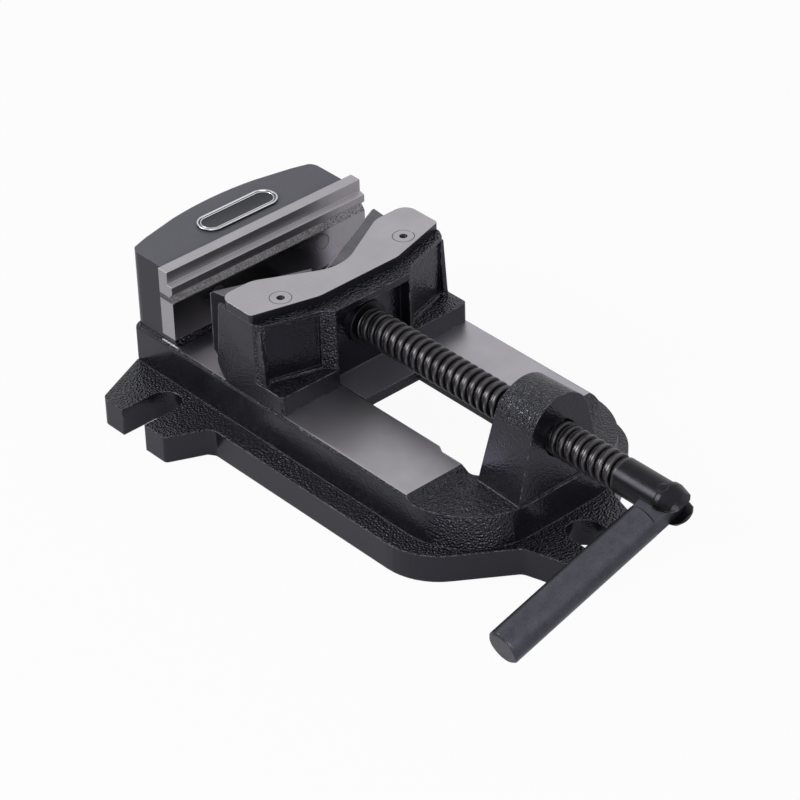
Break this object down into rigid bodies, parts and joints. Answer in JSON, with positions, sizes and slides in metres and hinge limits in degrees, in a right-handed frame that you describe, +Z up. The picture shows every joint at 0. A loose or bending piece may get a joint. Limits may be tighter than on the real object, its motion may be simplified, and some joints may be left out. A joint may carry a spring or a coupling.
{
  "type": "drill press vise",
  "caption": "Drill press vise: cast bed with slotted ears, stepped fixed jaw plate, moving jaw with two swivelling V jaws, spindle with folding handle.",
  "frame": {"origin": "on the underside, below the gripping face of the fixed jaw plate, on the plane of the spindle axis", "axes": "+Y from the handle end to the fixed jaw along the spindle, +Z up from the machine table, +X across the jaws to the right seen from the handle"},
  "size_m": [0.1583, 0.265, 0.0676],
  "materials": {
    "cast_enamel": "black gloss enamel on rough cast iron",
    "ground_steel": "ground",
    "plain_steel": "plain",
    "blackened_steel": "blackened, ground on top",
    "black_oxide": "black oxide, satin",
    "dark_steel": "turned, oiled dark",
    "badge_metal": "dark field with bright rim"
  },
  "bodies": {
    "base": {"base_casting": "cast_enamel", "fixed_jaw_plate": "ground_steel", "jaw_plate_screws": "plain_steel", "nameplate": "badge_metal", "spindle_nut": "dark_steel", "nut_lock_pin": "plain_steel"},
    "movable_jaw": {"movable_jaw_casting": "cast_enamel", "jaw_cover_plate": "ground_steel", "left_pivot_pin": "ground_steel", "right_pivot_pin": "ground_steel", "keeper_plate": "black_oxide", "keeper_washers": "plain_steel", "keeper_screws": "black_oxide", "thrust_washer": "dark_steel", "spindle_retaining_pins": "plain_steel"},
    "left_swivel": {"left_swivel_jaw": "blackened_steel"},
    "right_swivel": {"right_swivel_jaw": "blackened_steel"},
    "spindle": {"spindle": "black_oxide", "handle_hinge_pin": "plain_steel"},
    "handle": {"handle_bar": "black_oxide"}
  },
  "joints": [
    {"name": "jaw_slide", "type": "slide", "parent": "base", "child": "movable_jaw", "axis": [0, 1, 0], "range_m": [-0.0641, 0.0131]},
    {"name": "left_jaw_swivel", "type": "hinge", "parent": "movable_jaw", "child": "left_swivel", "pos_m": [-0.0316, -0.0443, 0.051], "axis": [0, 0, 1], "range_deg": [-10, 7]},
    {"name": "right_jaw_swivel", "type": "hinge", "parent": "movable_jaw", "child": "right_swivel", "pos_m": [0.0316, -0.0443, 0.051], "axis": [0, 0, 1], "range_deg": [-12, 5]},
    {"name": "spindle_turn", "type": "hinge", "parent": "movable_jaw", "child": "spindle", "pos_m": [0, -0.0585, 0.0481], "axis": [0, 1, 0], "range_deg": [-5760, 1170]},
    {"name": "handle_fold", "type": "hinge", "parent": "spindle", "child": "handle", "pos_m": [0, -0.2193, 0.0481], "axis": [-0.2656, 0, 0.9641], "range_deg": [0, 180]}
  ],
  "couplings": [
    {"joint": "jaw_slide", "follows": "spindle_turn", "m_per_rad": 0.00063662}
  ]
}
